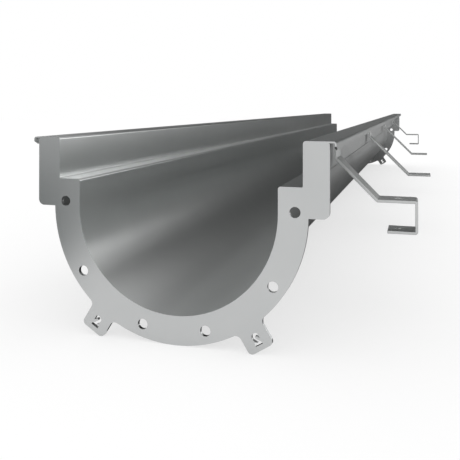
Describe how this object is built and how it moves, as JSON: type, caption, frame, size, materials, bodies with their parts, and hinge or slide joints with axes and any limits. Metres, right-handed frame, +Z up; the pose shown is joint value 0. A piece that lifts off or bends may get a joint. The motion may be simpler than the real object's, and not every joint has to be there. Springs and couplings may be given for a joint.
{
  "type": "drainage channel section",
  "caption": "Open-top stainless drainage channel with a half-round bottom, built-in fall, grate seats, bolted end flanges on feet and bent flat-bar anchors under both rims.",
  "frame": {"origin": "centre of the base, on the floor under the middle of the channel", "axes": "+Y along the channel towards its rear flange, +Z up, +X across to the right"},
  "size_m": [0.482, 2, 0.2035],
  "materials": {
    "channel_sheet": "mill-finished stainless sheet, pickled",
    "flange_plate": "laser-cut stainless plate, pickled",
    "anchor_bar": "bent stainless flat bar, pickled"
  },
  "bodies": {
    "root": {"channel_body": "channel_sheet", "front_flange": "flange_plate", "rear_flange": "flange_plate", "hook_anchor_front_right": "anchor_bar", "hook_anchor_front_left": "anchor_bar", "strap_anchor_mid_front_right": "anchor_bar", "strap_anchor_mid_front_left": "anchor_bar", "strap_anchor_mid_rear_right": "anchor_bar", "strap_anchor_mid_rear_left": "anchor_bar", "hook_anchor_rear_right": "anchor_bar", "hook_anchor_rear_left": "anchor_bar"}
  },
  "joints": []
}
